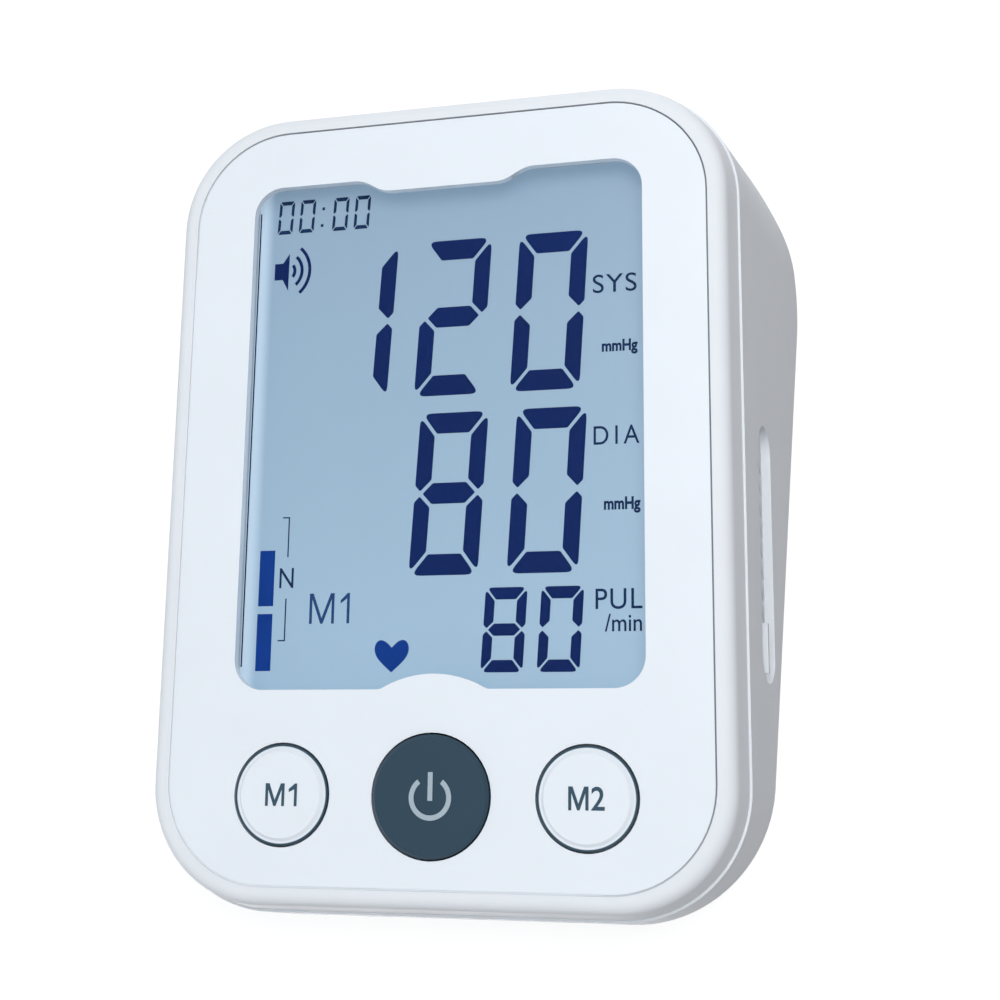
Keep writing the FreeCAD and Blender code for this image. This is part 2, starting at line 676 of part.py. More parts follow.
def make_display():
    """Frame behind the plate, display glass, light guide and the strip that joins the glass to the board."""
    rim = tile("lcd_rim", LCD_WIDE + " + 2 * frame_margin", LCD_TALL + " + 2 * frame_margin", "frame_corner",
               "lcd_setback + (%s)" % PLATE_BACK)
    lay(rim, "0", WINDOW_MIDDLE, "-lcd_setback")
    view = tile("lcd_view", WINDOW_WIDE + " + 2 * frame_reveal", WINDOW_TALL + " + 2 * frame_reveal",
                "frame_corner", "lcd_setback")
    lay(view, "0", WINDOW_MIDDLE, "-lcd_setback - cut_overrun")
    node("lcd_frame", cut("lcd_frame", rim, view))
    glass = box("lcd_glass", LCD_WIDE, LCD_TALL, "lcd_thick")
    node("lcd_glass", lay(glass, "-%s / 2" % LCD_WIDE, LCD_FOOT, "-lcd_setback - lcd_thick"))
    guide = box("lcd_backlight", LCD_WIDE, LCD_TALL + " - connector_high - cover_clearance",
                "board_front - lcd_setback - lcd_thick")
    node("lcd_backlight", lay(guide, "-%s / 2" % LCD_WIDE, LCD_FOOT + " + connector_high + cover_clearance",
                              "-board_front"))
    strip = box("lcd_connector", "connector_width", "connector_high", "board_front - lcd_setback - lcd_thick")
    node("lcd_connector", lay(strip, "-connector_width / 2", LCD_FOOT, "-board_front"))


def make_board():
    """Circuit board on the front shell's posts, its main chip and its four screws."""
    blank = tile("board_blank", "body_width - 2 * board_side", "body_height - 2 * board_end",
                 "board_corner", "board_thick")
    lay(blank, "0", "0", BOARD_BACK)
    holes = []
    screws = []
    for number, (x, w) in enumerate(POSTS):
        hole = cylinder("board_hole_%d" % number, "screw_radius + screw_fit", "board_thick + 2 * cut_overrun")
        holes.append(lay(hole, x, w, "%s - cut_overrun" % BOARD_BACK))
        screw = turned("board_screw_%d" % number, [
            ("0", "-head_thick"), ("screw_head", "-head_thick"), ("screw_head", "0"), ("screw_radius", "0"),
            ("screw_radius", "screw_long"), ("0", "screw_long")])
        screws.append(lay(screw, x, w, BOARD_BACK))
    node("main_board", cut("main_board", blank, *holes))
    node("board_screws", group("board_screws", *screws))
    chip = box("controller_chip", "chip_side", "chip_side", "chip_thick")
    node("controller_chip", lay(chip, "-chip_side / 2", "chip_place", "%s - chip_thick" % BOARD_BACK))


def make_key(key, column, switch, plunger):
    """A round key with a flange behind the plate and a stem on its switch pin."""
    radius = key_radius(key)
    shoulder = radius if key == "power_key" else radius + " - ring_width"
    step = "key_proud - ring_deep"
    flange_top = "(%s - key_clearance)" % PLATE_BACK
    edge = "key_proud - key_edge"
    profile = [("0", "key_proud"), (shoulder + " - key_edge", "key_proud"), (shoulder, edge)]
    if key != "power_key":
        profile += [(shoulder, step), (radius, step)]
    profile += [(radius, flange_top), (radius + " + key_flange", flange_top),
                (radius + " + key_flange", flange_top + " - flange_thick"),
                ("stem_radius", flange_top + " - flange_thick"), ("stem_radius", STEM_END), ("0", STEM_END)]
    node(key, lay(turned(key, profile), column, KEY_W, "0"))
    if key != "power_key":
        ring = turned(key + "_ring", [
            (shoulder, step), (radius, step), (radius, edge), (shoulder, edge)])
        node(key + "_ring", lay(ring, column, KEY_W, "0"))
    case = box(switch + "_case", "switch_side", "switch_side", "switch_high")
    lay(case, "%s - switch_side / 2" % column, KEY_W + " - switch_side / 2", "-board_front")
    bore = cylinder(switch + "_bore", "plunger_radius + plunger_play", "switch_high")
    lay(bore, column, KEY_W, "-board_front + plunger_play")
    node(switch, cut(switch, case, bore))
    pin = cylinder(plunger, "plunger_radius", "plunger_long")
    node(plunger, lay(pin, column, KEY_W, "%s - plunger_long" % STEM_END))


def make_housing_screws():
    """Four long screws from under the base into the front shell's bosses."""
    screws = []
    for number, (x, w) in enumerate(BOSSES):
        screw = turned("housing_screw_%d" % number, [
            ("0", "-housing_head_thick"), ("housing_head_radius", "-housing_head_thick"),
            ("housing_head_radius", "0"), ("housing_screw_radius", "0"),
            ("housing_screw_radius", "screw_floor + housing_screw_grip - cut_overrun"),
            ("0", "screw_floor + housing_screw_grip - cut_overrun")])
        screws.append(lay(screw, x, w, "-boss_join - screw_floor"))
    node("housing_screws", group("housing_screws", *screws))


def hose(name, x, w, long, axis):
    """A straight run of silicone tube between two ports."""
    wall = cylinder(name + "_wall", "tube_radius", long)
    room = cylinder(name + "_room", "port_radius", long)
    for rod in (wall, room):
        axis(rod, x, w, "-air_deep")
    node(name, cut(name, wall, room))


def make_air_system():
    """Cuff socket, four-way junction, pump, release valve, sensor and the tubes between their ports."""
    flange = along_x(cylinder("socket_flange", "flange_radius", "flange_deep"),
                     "-%s - flange_deep" % SOCKET_FACE, "-tee_place", "-air_deep")
    barrel = along_x(cylinder("socket_barrel", "socket_radius", "socket_reach"),
                     "-" + SOCKET_FACE, "-tee_place", "-air_deep")
    spout = along_x(cylinder("socket_spout", "port_radius", "port_long"),
                    "-%s + socket_reach" % SOCKET_FACE, "-tee_place", "-air_deep")
    bore = along_x(cylinder("socket_bore", "bore_radius", "bore_deep"),
                   "-%s - flange_deep" % SOCKET_FACE, "-tee_place", "-air_deep")
    passage = along_x(cylinder("socket_passage", "air_passage", "socket_reach + flange_deep + port_long"),
                      "-%s - flange_deep" % SOCKET_FACE, "-tee_place", "-air_deep")
    node("cuff_socket", cut("cuff_socket", fuse("socket_body", flange, barrel, spout), bore, passage))

    span = "2 * (tee_half + port_long)"
    core = box("tee_core", "2 * tee_half", "2 * tee_half", "2 * tee_half")
    lay(core, "-%s - tee_half" % AIR_X, "-tee_place - tee_half", "-air_deep - tee_half")
    cross = along_x(cylinder("tee_cross", "port_radius", span), "-%s - tee_half - port_long" % AIR_X,
                    "-tee_place", "-air_deep")
    upright = along_w(cylinder("tee_upright", "port_radius", span), "-" + AIR_X,
                      "-tee_place - tee_half - port_long", "-air_deep")
    node("air_tee", fuse("air_tee", core, cross, upright))

    pump_w = PUMP_FRONT
    head = tile("pump_head_block", "head_width", "head_width", "head_corner", "head_long")
    lay(head, "-" + AIR_X, pump_w, "-air_deep", "-90")
    nozzle = along_w(cylinder("pump_nozzle", "port_radius", "port_long"), "-" + AIR_X,
                     pump_w + " - port_long", "-air_deep")
    node("pump_head", fuse("pump_head", head, nozzle))
    can = turned("pump_motor", [
        ("0", "0"), ("pump_radius", "0"), ("pump_radius", "motor_long - shaft_end"),
        ("shaft_end", "motor_long - shaft_end"), ("shaft_end", "motor_long"), ("0", "motor_long")])
    node("pump_motor", along_w(can, "-" + AIR_X, pump_w + " + head_long", "-air_deep"))
    bed = cylinder("saddle_round", "pump_radius + saddle_thick", "motor_long - shaft_end")
    along_w(bed, "-" + AIR_X, pump_w + " + head_long", "-air_deep")
    hollow = cylinder("saddle_hollow", "pump_radius", "motor_long - shaft_end")
    along_w(hollow, "-" + AIR_X, pump_w + " + head_long", "-air_deep")
    above = box("saddle_above", "4 * pump_radius", "motor_long", "2 * pump_radius")
    lay(above, "-%s - 2 * pump_radius" % AIR_X, pump_w + " + head_long", "-air_deep")
    node("pump_saddle", cut("pump_saddle", bed, hollow, above))

    valve_w = "(-tee_place - tee_half - 2 * port_long)"
    case = box("valve_case", "valve_side", "valve_long", "valve_side")
    lay(case, "-%s - valve_side / 2" % AIR_X, valve_w + " - valve_long", "-air_deep - valve_side / 2")
    tip = along_w(cylinder("valve_tip", "port_radius", "port_long"), "-" + AIR_X, valve_w, "-air_deep")
    node("release_valve", fuse("release_valve", case, tip))

    chip = box("sensor_case", "sensor_side", "sensor_side", "sensor_thick")
    lay(chip, "-sensor_x", "-tee_place - sensor_side / 2", "%s - sensor_thick" % BOARD_BACK)
    beak = along_x(cylinder("sensor_beak", "port_radius", "port_long"), "-sensor_x - port_long", "-tee_place",
                   "-sensor_axis")
    node("pressure_sensor", fuse("pressure_sensor", chip, beak))

    hose("socket_tube", "-%s + socket_reach" % SOCKET_FACE, "-tee_place",
         "tee_inset - socket_reach - tee_half", along_x)
    hose("pump_tube", "-" + AIR_X, "-tee_place + tee_half", "2 * port_long", along_w)
    hose("valve_tube", "-" + AIR_X, "-tee_place - tee_half - 2 * port_long", "2 * port_long", along_w)
    make_sensor_tube()


def make_sensor_tube():
    """Tube from the junction up to the sensor: two arcs of one radius between two short straight runs."""
    start = value("tee_half - %s" % AIR_X)
    end = value("-sensor_x")
    low = value("-air_deep")
    rise = value("air_deep - sensor_axis")
    radius = value("bend_radius")
    angle = math.acos(1 - rise / (2 * radius))
    reach = 2 * radius * math.sin(angle)
    lead = value("port_long")
    half = radius * math.sin(angle / 2)
    drop = radius * (1 - math.cos(angle / 2))

    def spot(x, n):
        return point_of_face(repr(x), "-tee_place", repr(n))

    first = start + lead
    middle = first + reach / 2
    last = first + reach
    path = Part.Wire([
        Part.LineSegment(spot(start, low), spot(first, low)).toShape(),
        Part.Arc(spot(first, low), spot(first + half, low + drop), spot(middle, low + rise / 2)).toShape(),
        Part.Arc(spot(middle, low + rise / 2), spot(last - half, low + rise - drop),
                 spot(last, low + rise)).toShape(),
        Part.LineSegment(spot(last, low + rise), spot(end, low + rise)).toShape()])

    def swept(size):
        ring = Part.Wire(Part.Circle(spot(start, low), FreeCAD.Vector(1, 0, 0), value(size)).toShape())
        return path.makePipeShell([ring], True, False)

    tube = doc.addObject("Part::Feature", "sensor_tube")
    tube.Shape = swept("tube_radius").cut(swept("port_radius"))
    node("sensor_tube", tube)


def make_speaker():
    """Flat speaker on the inside of the right wall, over the outlet's slots, with its magnet behind."""
    wall = "(ledge_step + wall_thick + lip_seat)"
    inside = "(%s - %s - speaker_radius * tan(side_flare) - speaker_gap)" % (OUTLET_WALL, wall)
    basket = cylinder("speaker_basket", "speaker_radius", "speaker_thick")
    middle = "outlet_w + outlet_long / 2 - slot_first - %s * slot_pitch" % ((SLOT_COUNT - 1) / 2)
    along_x(basket, inside + " - speaker_thick", middle, "-outlet_n")
    magnet = cylinder("speaker_magnet", "magnet_radius", "magnet_thick")
    along_x(magnet, inside + " - speaker_thick - magnet_thick", middle, "-outlet_n")
    node("speaker", fuse("speaker", basket, magnet))


def make_batteries():
    """Four cells side by side, every other one turned round, between plate and leaf contacts."""
    plates = []
    leaves = []
    for number in range(CELL_COUNT):
        x = "(%s + %s * (2 * cell_radius + cell_gap))" % (BAY_X, number - (CELL_COUNT - 1) / 2)
        turned_round = number % 2 == 1
        can = turned("battery_cell_%d" % (number + 1), [
            ("0", "0"), ("cell_radius", "0"), ("cell_radius", "cell_long"), ("nub_radius", "cell_long"),
            ("nub_radius", "cell_long + nub_long"), ("0", "cell_long + nub_long")])
        foot = "bay_front + spring_room"
        if turned_round:
            foot = "bay_front + contact_thick + cell_long + nub_long"
        node("battery_cell_%d" % (number + 1),
             stand(can, x, foot, CELL_Z, (1, 0, 0), "90" if turned_round else "-90"))
        plate = box("battery_plate_%d" % number, "contact_width", "contact_thick", "contact_width")
        wall = "bay_front" if turned_round else "bay_front + %s - contact_thick" % BAY_LONG
        plates.append(stand(plate, x + " - contact_width / 2", wall, CELL_Z + " - contact_width / 2"))
        leaves.append(make_leaf(number, x, turned_round))
    node("battery_plates", group("battery_plates", *plates))
    node("battery_leaf_springs", group("battery_leaf_springs", *leaves))


def make_leaf(number, x, at_rear):
    """A bent leaf: a back strip on the bay wall and a tongue that bows out to the cell and returns."""
    high = "contact_width / 2"
    reach = "(spring_room - lip_clearance)"
    outline = [
        ("0", high), ("0", "-" + high), ("1.5 * contact_thick", "-" + high), (reach, "-contact_thick"),
        (reach, "contact_thick"), (reach + " - 3 * contact_thick", "contact_width / 4"),
        (reach + " - 4 * contact_thick", "contact_width / 4 - contact_thick"),
        (reach + " - 1.5 * contact_thick", "0"), ("contact_thick", "2.5 * contact_thick - " + high),
        ("contact_thick", high)]
    leaf = prism("battery_leaf_%d" % number, "YZ_Plane", outline, "contact_width", midplane=True)
    if at_rear:
        return stand(leaf, x, "bay_front + %s" % BAY_LONG, CELL_Z, (0, 0, 1), "180")
    return stand(leaf, x, "bay_front", CELL_Z)


def make_battery_cover():
    """Door of the battery bay: a plate with a round hinge edge and, behind, a grooved and sprung tongue."""
    wide = "(%s + 2 * cover_ledge)" % BAY_WIDE
    front = "(bay_front - cover_ledge)"
    long = "(%s + 2 * cover_ledge)" % BAY_LONG
    plate = box("cover_plate", wide, long + " - cover_thick / 2", "cover_thick")
    stand(plate, "%s - %s / 2" % (BAY_X, wide), front + " + cover_thick / 2", "foot_height")
    edge = cylinder("cover_edge", "cover_thick / 2", wide)
    stand(edge, "%s - %s / 2" % (BAY_X, wide), front + " + cover_thick / 2", "foot_height + cover_thick / 2",
          (0, 1, 0), "90")
    slots = []
    for side, offset in (("left", "-tongue_width / 2 - tongue_slot"), ("right", "tongue_width / 2")):
        slot = box("cover_slot_" + side, "tongue_slot", "tongue_long + cut_overrun",
                   "cover_thick + 2 * cut_overrun")
        slots.append(stand(slot, "%s + %s" % (BAY_X, offset), front + " + %s - tongue_long" % long,
                           "foot_height - cut_overrun"))
    for number in range(GROOVE_COUNT):
        groove = box("cover_groove_%d" % number, "tongue_width - 2 * groove_edge", "groove_wide",
                     "groove_deep + cut_overrun")
        slots.append(stand(groove, BAY_X + " + groove_edge - tongue_width / 2",
                           "%s + %s - groove_edge - groove_wide - %d * groove_pitch" % (front, long, number),
                           "foot_height - cut_overrun"))
    node("battery_cover", cut("battery_cover", fuse("cover_whole", plate, edge), *slots))


def make_feet():
    """Four rubber discs let into the base."""
    feet = []
    for number, (x, y) in enumerate(FEET):
        foot = turned("foot_%d" % number, [
            ("0", "0"), ("foot_radius - foot_edge", "0"), ("foot_radius", "foot_edge"),
            ("foot_radius", "foot_height + foot_socket"), ("0", "foot_height + foot_socket")])
        feet.append(stand(foot, x, y, "0"))
    node("feet", group("feet", *feet))


make_front_shell()
make_rear_shell()
make_panel_and_window()
make_display()
make_board()
make_key("power_key", KEY_COLUMNS["power_key"], "power_switch", "power_plunger")
make_key("memory_key_1", KEY_COLUMNS["memory_key_1"], "memory_switch_1", "memory_plunger_1")
make_key("memory_key_2", KEY_COLUMNS["memory_key_2"], "memory_switch_2", "memory_plunger_2")
make_housing_screws()
make_air_system()
make_speaker()
make_batteries()
make_battery_cover()
make_feet()
doc.recompute()

for thing in doc.Objects:
    if "Invalid" in thing.State or "Error" in thing.State:
        raise RuntimeError("%s did not build: %s" % (thing.Label, thing.State))
for thing in subparts:
    if thing.Shape.isNull() or not thing.Shape.isValid():
        raise RuntimeError("%s has no valid shape" % thing.Label)

os.makedirs("parts", exist_ok=True)
for thing in subparts:
    thing.Shape.exportStep("parts/%s.step" % thing.Label)
    print("%-22s %d solids %10.1f mm3" % (thing.Label, len(thing.Shape.Solids), thing.Shape.Volume))
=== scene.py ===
"""Looks of the desktop blood pressure monitor: finishes, display signs, key marks, light and camera.

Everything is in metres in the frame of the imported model. Signs lie on the tilted face, so they are
drawn in face coordinates in millimetres (x to the right, w up the face, n out of it) and then stood up.
"""
import bpy
import json
import numpy as np
from math import radians, pi
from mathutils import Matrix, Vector


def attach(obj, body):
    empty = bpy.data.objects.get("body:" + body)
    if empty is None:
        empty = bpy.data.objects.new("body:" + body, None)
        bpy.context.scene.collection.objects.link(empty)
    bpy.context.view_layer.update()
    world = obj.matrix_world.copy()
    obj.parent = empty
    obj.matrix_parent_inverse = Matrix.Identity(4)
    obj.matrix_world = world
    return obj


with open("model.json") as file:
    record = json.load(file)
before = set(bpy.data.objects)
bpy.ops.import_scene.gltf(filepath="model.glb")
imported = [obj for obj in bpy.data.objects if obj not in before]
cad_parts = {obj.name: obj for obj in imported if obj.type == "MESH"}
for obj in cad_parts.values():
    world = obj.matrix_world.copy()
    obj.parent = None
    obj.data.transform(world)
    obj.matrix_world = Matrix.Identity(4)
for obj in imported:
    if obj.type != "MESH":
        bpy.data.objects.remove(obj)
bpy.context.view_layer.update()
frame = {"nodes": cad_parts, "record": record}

MM = 0.001

# The tilted face in the standing frame. The rows of FACE_AXES are the directions of x, w and n.
FACE_TILT = radians(19.3)
FACE_SHIFT = -2.4
FACE_LIFT = 43.5
FACE_AXES = np.array([[1, 0, 0],
                      [0, np.cos(FACE_TILT), np.sin(FACE_TILT)],
                      [0, -np.sin(FACE_TILT), np.cos(FACE_TILT)]])
ACROSS, UPWARDS, OUTWARDS = FACE_AXES

# Printed surfaces: depths along n, the row of keys, and half the thickness of the ink.
LCD_FRONT = -4.6
KEY_FRONT = 0.45
KEY_LINE = -53.1
KEY_PITCH = 26.9
INK = 0.03

# The dark line on a memory key's rim: its inner radius, and half the width of its soft edge.
RING_LINE = 8.14
RING_EDGE = 0.05

# The face panel, which lies in the bezel with a gap all round, and the bead in that gap.
PANEL_HALF = np.array([48.0, 68.2])
PANEL_CORNER = 17.5
PANEL_GAP = 0.3
SEAL_LOW = -1.6
SEAL_HIGH = -0.28
SEAL_EASE = 0.02

# The usual finish: scales of its noise per metre, the range that clouds it, its wear and its grain's depth.
CLOUD_SCALE = 60
CLOUD_RANGE = (0.3, 0.7)
WEAR_SCALE = 140
WEAR = 0.05
GRAIN_DEPTH = 0.00002
INK_SHINE = 0.1

# The clear window: its tint, its reflection, and the cosines between which a face counts as broad.
WINDOW_TINT = (0.985, 0.99, 0.995, 1)
WINDOW_ROUGHNESS = 0.04
WINDOW_IOR = 1.14
WINDOW_BROAD = (0.8, 0.9)

# The display: its glow, which stands for a backlight and is painted light filling the shade of its recess,
# the share of that colour that its surface has, and in metres how far noise shifts the grading (painted
# shade, darker up the face), where the grading runs up the face and where the paler band of painted light on
# the left ends.
DISPLAY_GLOW = 0.98
DISPLAY_SURFACE = 0.6
DISPLAY_SHIFT = 0.02
DISPLAY_SHADE_SPAN = (-0.02, 0.08)
DISPLAY_LIT_BAND = (-0.0368, -0.0344)

# Where the bead turns from painted light to painted shade, in half panels to the right and back.
SEAL_SHADE_SPAN = (-0.5, 0.3)

# Seven-segment digits: the segments lit for each, and how far they lean per unit of height.
SEGMENTS = {"0": "abcdef", "1": "bc", "2": "abged", "8": "abcdefg"}
SLANT = 0.057

# Depth of a raw glyph, before it is fitted to the ink's thickness.
GLYPH_DEPTH = 0.01


def standing(points):
    """Face coordinates in millimetres to metres in the standing frame: turn by the tilt, then lift."""
    return (points @ FACE_AXES + np.array([0, FACE_SHIFT, FACE_LIFT])) * MM


def srgb(red, green, blue):
    """A screen colour of 0 to 255 as linear light."""
    part = np.array([red, green, blue]) / 255
    linear = np.where(part <= 0.04045, part / 12.92, ((part + 0.055) / 1.055) ** 2.4)
    return (*linear.tolist(), 1.0)


# Shader nodes

def add_node(tree, kind, inputs=(), **settings):
    """A new node with its settings and its inputs, each a link or a fixed value, in order or by name."""
    node = tree.nodes.new(kind)
    for setting, choice in settings.items():
        setattr(node, setting, choice)
    for place, given in inputs.items() if isinstance(inputs, dict) else enumerate(inputs):
        if isinstance(given, bpy.types.NodeSocket):
            tree.links.new(given, node.inputs[place])
        else:
            node.inputs[place].default_value = given
    return node.outputs


def bare_material(name):
    """A node material with nothing but its output."""
    material = bpy.data.materials.new(name)
    material.use_nodes = True
    nodes = material.node_tree.nodes
    nodes.remove(nodes["Principled BSDF"])
    return material


class Finish:
    """A node material around one Principled shader, built up by short calls."""

    def __init__(self, name, colour, roughness, **sockets):
        self.material = bpy.data.materials.new(name)
        self.material.use_nodes = True
        self.tree = self.material.node_tree
        self.shader = self.tree.nodes["Principled BSDF"]
        self.shader.inputs["Base Color"].default_value = colour
        self.shader.inputs["Roughness"].default_value = roughness
        self.colour = colour
        self.roughness = roughness
        for socket, amount in sockets.items():
            self.shader.inputs[socket.replace("_", " ")].default_value = amount
        self.coordinates = self.add("ShaderNodeTexCoord")["Object"]

    def add(self, kind, inputs=(), **settings):
        """A further node of this material."""
        return add_node(self.tree, kind, inputs, **settings)

    def drive(self, socket, link):
        """Let a link set one of the shader's sockets."""
        self.tree.links.new(link, self.shader.inputs[socket])

    def along(self, direction):
        """How far a point lies along a direction, on the piece's own coordinates."""
        inputs = [self.coordinates, direction]
        return self.add("ShaderNodeVectorMath", inputs, operation="DOT_PRODUCT")["Value"]

    def noise(self, scale, detail=3.0):
        """Cloudy noise on the piece's own coordinates."""
        inputs = {"Vector": self.coordinates, "Scale": scale, "Detail": detail}
        return self.add("ShaderNodeTexNoise", inputs)["Fac"]

    def ramp(self, factor, low, high, start=0.0, end=1.0):
        """Blend from one colour to another as the factor rises from start to end."""
        blend = self.tree.nodes.new("ShaderNodeValToRGB")
        first, last = blend.color_ramp.elements
        first.position, first.color = start, low
        last.position, last.color = end, high
        self.tree.links.new(factor, blend.inputs["Fac"])
        return blend.outputs["Color"]

    def clouded(self, spread, scale=CLOUD_SCALE):
        """Let the base colour drift a little lighter and darker over the surface."""
        darker = tuple(part * (1 - spread) for part in self.colour[:3]) + (1.0,)
        lighter = tuple(min(part * (1 + spread), 1) for part in self.colour[:3]) + (1.0,)
        self.drive("Base Color", self.ramp(self.noise(scale), darker, lighter, *CLOUD_RANGE))
        return self

    def worn(self, scale=WEAR_SCALE, spread=WEAR):
        """Let the roughness vary over the surface."""
        inputs = {"Value": self.noise(scale, 4.0),
                  "To Min": self.roughness - spread, "To Max": self.roughness + spread}
        self.drive("Roughness", self.add("ShaderNodeMapRange", inputs)["Result"])
        return self

    def grained(self, scale, strength):
        """A fine moulded grain in the normal."""
        inputs = {"Strength": strength, "Distance": GRAIN_DEPTH, "Height": self.noise(scale, 2.0)}
        self.drive("Normal", self.add("ShaderNodeBump", inputs)["Normal"])
        return self


# Finishes

def plain_finish(name, colour, roughness, grain, strength, spread, **sockets):
    """The usual moulded or painted surface: slightly clouded, slightly worn, finely grained."""
    finish = Finish(name, colour, roughness, **sockets)
    return finish.clouded(spread).worn().grained(grain, strength).material


def ink(name, colour, roughness, grain, strength, spread):
    """A printed colour that hardly shines."""
    return plain_finish(name, colour, roughness, grain, strength, spread, Specular_IOR_Level=INK_SHINE)


def clear_window_finish():
    """Clear sheet: see-through, and on its broad faces a reflection that grows towards grazing angles."""
    material = bare_material("clear_window")
    tree = material.node_tree
    surface = add_node(tree, "ShaderNodeNewGeometry")
    facing = add_node(tree, "ShaderNodeVectorMath", [surface["True Normal"], OUTWARDS],
                      operation="DOT_PRODUCT")["Value"]
    broad = add_node(tree, "ShaderNodeMapRange", [facing, *WINDOW_BROAD])["Result"]
    front = add_node(tree, "ShaderNodeMath", [broad, surface["Backfacing"]],
                     operation="SUBTRACT", use_clamp=True)["Value"]
    grazing = add_node(tree, "ShaderNodeFresnel", {"IOR": WINDOW_IOR})["Fac"]
    amount = add_node(tree, "ShaderNodeMath", [grazing, front], operation="MULTIPLY")["Value"]
    clear = add_node(tree, "ShaderNodeBsdfTransparent", {"Color": WINDOW_TINT})["BSDF"]
    gloss = add_node(tree, "ShaderNodeBsdfGlossy", {"Roughness": WINDOW_ROUGHNESS})["BSDF"]
    sheet = add_node(tree, "ShaderNodeMixShader", [amount, clear, gloss])["Shader"]
    tree.links.new(sheet, tree.nodes["Material Output"].inputs["Surface"])
    return material


def display_finish():
    """Grey-blue display ground with a glow that stands for a backlight and paints out the shade of its
    recess, painted shade that darkens it up the face, and a paler band along its left edge, the frame's pale
    border brightened with painted light.
    """
    # The glow stands for a backlight and is painted light that fills the shade the recess casts on the
    # display.
    finish = Finish("display_ground", srgb(96, 115, 131), 0.35, Emission_Strength=DISPLAY_GLOW)
    # Painted shade: the ground darkens up the face, as if lit from below, with a little noise.
    swell = [finish.noise(25), DISPLAY_SHIFT, finish.along(UPWARDS)]
    height = finish.add("ShaderNodeMath", swell, operation="MULTIPLY_ADD")["Value"]
    share = finish.add("ShaderNodeMapRange", [height, *DISPLAY_SHADE_SPAN])["Result"]
    ground = finish.ramp(share, srgb(129, 154, 173), srgb(115, 137, 156))
    # Painted light: a paler band along the left edge, the frame's pale border brightened against the
    # opening's shadow.
    band = [finish.along(ACROSS), *DISPLAY_LIT_BAND, 1.0, 0.0]
    edge = finish.add("ShaderNodeMapRange", band, interpolation_type="SMOOTHSTEP")["Result"]
    colours = {"Factor": edge, "A": ground, "B": srgb(160, 178, 193)}
    lit = finish.add("ShaderNodeMix", colours, data_type="RGBA")["Result"]
    surface = {"Value": DISPLAY_SURFACE, "Color": lit}
    finish.drive("Base Color", finish.add("ShaderNodeHueSaturation", surface)["Color"])
    finish.drive("Emission Color", lit)
    return finish.grained(1800, 0.05).material


def ring_finish():
    """White rim of a memory key with a dark line along its outer edge, by distance from the key axis."""
    finish = Finish("ring_print", srgb(44, 68, 84), 0.4, Specular_IOR_Level=0.25)
    key_line = standing(np.array([0, KEY_LINE, 0])) @ UPWARDS
    side = finish.add("ShaderNodeMath", [finish.along(ACROSS)], operation="ABSOLUTE")["Value"]
    across = finish.add("ShaderNodeMath", [side, KEY_PITCH * MM], operation="SUBTRACT")["Value"]
    up = finish.add("ShaderNodeMath", [finish.along(UPWARDS), key_line], operation="SUBTRACT")["Value"]
    place = finish.add("ShaderNodeCombineXYZ", [across, up])["Vector"]
    reach = finish.add("ShaderNodeVectorMath", [place], operation="LENGTH")["Value"]
    edge = [reach, (RING_LINE - RING_EDGE) * MM, (RING_LINE + RING_EDGE) * MM]
    share = finish.add("ShaderNodeMapRange", edge)["Result"]
    finish.drive("Base Color", finish.ramp(share, srgb(222, 229, 236), finish.colour))
    return finish.worn().grained(2600, 0.15).material


def seal_light_and_shade_finish():
    """Soft bead, pale with painted light along the left and foot of the panel and grey with painted shade
    along its head and right.
    """
    finish = Finish("panel_seal", srgb(150, 156, 162), 0.6)
    place = finish.along(np.array([1 / PANEL_HALF[0], 1 / PANEL_HALF[1], 0]) / MM)
    share = finish.add("ShaderNodeMapRange", [place, *SEAL_SHADE_SPAN])["Result"]
    # Painted light at the left and foot of the panel, painted shade at its head and right.
    finish.drive("Base Color", finish.ramp(share, srgb(226, 231, 237), srgb(112, 118, 126)))
    return finish.worn(200).grained(3000, 0.2).material


# Plain finishes by slot: colour, roughness, scale and strength of the grain, clouding, other sockets.
PLAIN_LOOKS = {
    "housing_white": (srgb(226, 230, 235), 0.55, 3200, 0.22, 0.012, {"Specular_IOR_Level": 0.18}),
    "panel_white": (srgb(228, 234, 241), 0.22, 900, 0.05, 0.010, {}),
    "key_slate": (srgb(38, 62, 78), 0.42, 2600, 0.2, 0.05, {"Specular_IOR_Level": 0.25}),
    "frame_grey": (srgb(186, 200, 208), 0.5, 2500, 0.15, 0.03, {}),
    "light_guide": (srgb(236, 240, 244), 0.3, 2500, 0.15, 0.03, {}),
    "board_green": (srgb(24, 92, 52), 0.4, 700, 0.3, 0.12, {}),
    "chip_black": (srgb(34, 34, 36), 0.55, 2000, 0.3, 0.1, {}),
    "switch_black": (srgb(40, 40, 42), 0.5, 2000, 0.3, 0.1, {}),
    "steel": (srgb(196, 198, 202), 0.3, 1500, 0.2, 0.05, {"Metallic": 1.0}),
    "rubber_grey": (srgb(120, 122, 126), 0.75, 1600, 0.5, 0.08, {}),
    "silicone": (srgb(226, 228, 226), 0.45, 1200, 0.1, 0.03, {}),
    "moulded_grey": (srgb(176, 180, 184), 0.45, 2200, 0.25, 0.03, {}),
    "cell_wrap": (srgb(58, 64, 74), 0.25, 900, 0.1, 0.08, {}),
}
FINISHES = {slot: plain_finish(slot, *look, **sockets) for slot, (*look, sockets) in PLAIN_LOOKS.items()}
FINISHES["clear_window"] = clear_window_finish()
FINISHES["display_ground"] = display_finish()
RING_PRINT = ring_finish()

